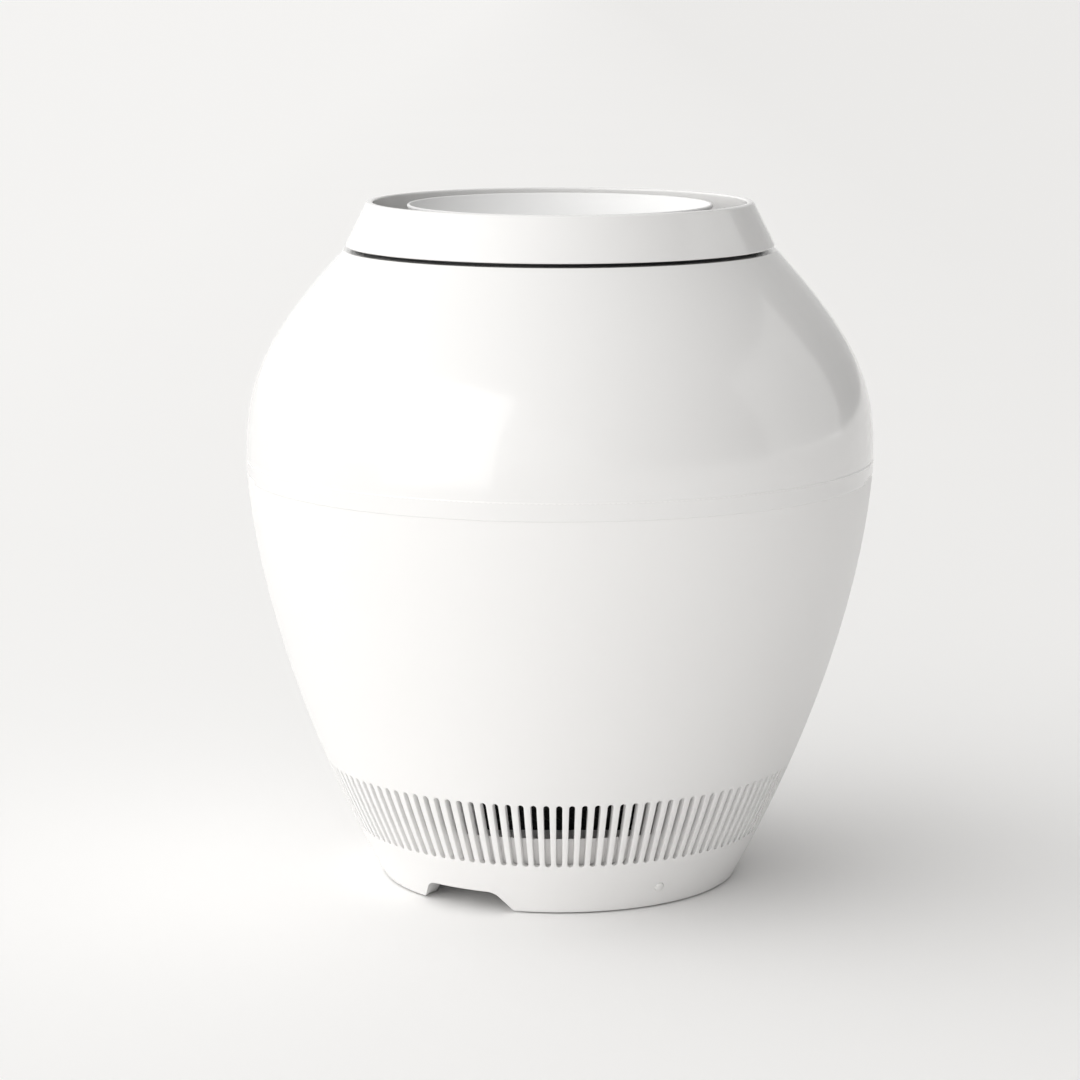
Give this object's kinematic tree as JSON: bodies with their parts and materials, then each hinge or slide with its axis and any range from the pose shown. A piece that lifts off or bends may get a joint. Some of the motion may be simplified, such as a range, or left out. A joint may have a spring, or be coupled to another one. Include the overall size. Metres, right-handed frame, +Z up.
{
  "type": "air purifier",
  "caption": "Jar-shaped tabletop air purifier: slotted lower shell, lift-off upper housing with a fan, square filter cartridge, crown ring and lift-out dish.",
  "frame": {"origin": "centre of the vessel on the surface that it stands on, at the bottom of the rubber feet", "axes": "+Z up along the vessel's axis; -Y towards the front, +X to the right seen from the front"},
  "size_m": [0.3908, 0.3908, 0.4237],
  "materials": {
    "shell_white": "satin",
    "shell_gloss_white": "high gloss",
    "dish_white": "satin gloss",
    "inner_white": "fine matt",
    "black_plastic": "fine matt",
    "carbon": "granular non-woven",
    "filter_paper": "matt",
    "rubber": "matt",
    "seam_rubber": "matt",
    "impeller_grey": "moulded",
    "steel": "ground",
    "aluminium": "cast",
    "copper": "enamelled wire",
    "screw_steel": "zinc plated",
    "brass": "plated",
    "circuit_board": "solder mask",
    "components": "moulded",
    "ribbon": "flat cable"
  },
  "bodies": {
    "lower_body": {"lower_shell": "shell_white", "base_plate": "inner_white", "intake_floor": "inner_white", "rubber_feet": "rubber", "waist_gasket": "seam_rubber", "power_inlet": "black_plastic", "inlet_pins": "brass", "power_board": "circuit_board", "power_components": "components", "air_sensor": "black_plastic", "base_screws": "screw_steel", "floor_screws": "screw_steel", "board_screws": "screw_steel", "wire_duct": "black_plastic", "ribbon_cable": "ribbon", "lower_contact_block": "black_plastic", "lower_contact_pads": "brass", "button_switch": "black_plastic", "button_board": "circuit_board"},
    "filter_cartridge": {"filter_bottom_frame": "inner_white", "filter_top_frame": "inner_white", "filter_corner_posts": "inner_white", "carbon_sheets": "carbon", "hepa_pleats": "filter_paper", "filter_gasket": "rubber", "filter_handle": "black_plastic"},
    "upper_body": {"upper_shell": "shell_gloss_white", "inlet_deck": "black_plastic", "deck_screws": "screw_steel", "inlet_guard": "black_plastic", "upper_contact_block": "black_plastic", "upper_contact_pins": "brass", "motor_base": "aluminium", "bearings": "steel", "stator_core": "steel", "stator_windings": "copper", "motor_grommets": "rubber", "motor_screws": "screw_steel", "motor_bowl": "inner_white", "control_board": "circuit_board", "hub_cover": "inner_white", "cover_screws": "screw_steel", "guide_vane_ring": "inner_white", "outlet_sleeve": "black_plastic", "outlet_grille": "inner_white", "upper_wire_duct": "black_plastic", "upper_ribbon_cable": "ribbon"},
    "rotor": {"impeller": "impeller_grey", "impeller_shroud": "impeller_grey", "rotor_bell": "steel", "rotor_magnets": "steel", "motor_shaft": "steel", "hub_nut": "steel"},
    "crown": {"top_ring": "shell_gloss_white", "ring_seat": "rubber"},
    "dish_body": {"dish": "dish_white"},
    "power_button": {"button_cap": "inner_white", "switch_plunger": "black_plastic"}
  },
  "joints": [
    {"name": "upper_lift", "type": "slide", "parent": "lower_body", "child": "upper_body", "axis": [0, 0, 1], "range_m": [0, 0.3]},
    {"name": "filter_lift", "type": "slide", "parent": "lower_body", "child": "filter_cartridge", "axis": [0, 0, 1], "range_m": [0, 0.15]},
    {"name": "fan_spin", "type": "hinge", "parent": "upper_body", "child": "rotor", "pos_m": [0, 0, 0.3], "axis": [0, 0, 1], "continuous": true},
    {"name": "crown_lift", "type": "slide", "parent": "upper_body", "child": "crown", "axis": [0, 0, 1], "range_m": [0, 0.1]},
    {"name": "dish_lift", "type": "slide", "parent": "upper_body", "child": "dish_body", "axis": [0, 0, 1], "range_m": [0, 0.1]},
    {"name": "power_press", "type": "slide", "parent": "lower_body", "child": "power_button", "axis": [-0.4543, 0.7636, 0.4588], "range_m": [0, 0.001], "stiffness_N_per_m": 2000}
  ],
  "couplings": [
    {"joint": "filter_lift", "follows": "upper_lift", "ratio": 0.5}
  ]
}
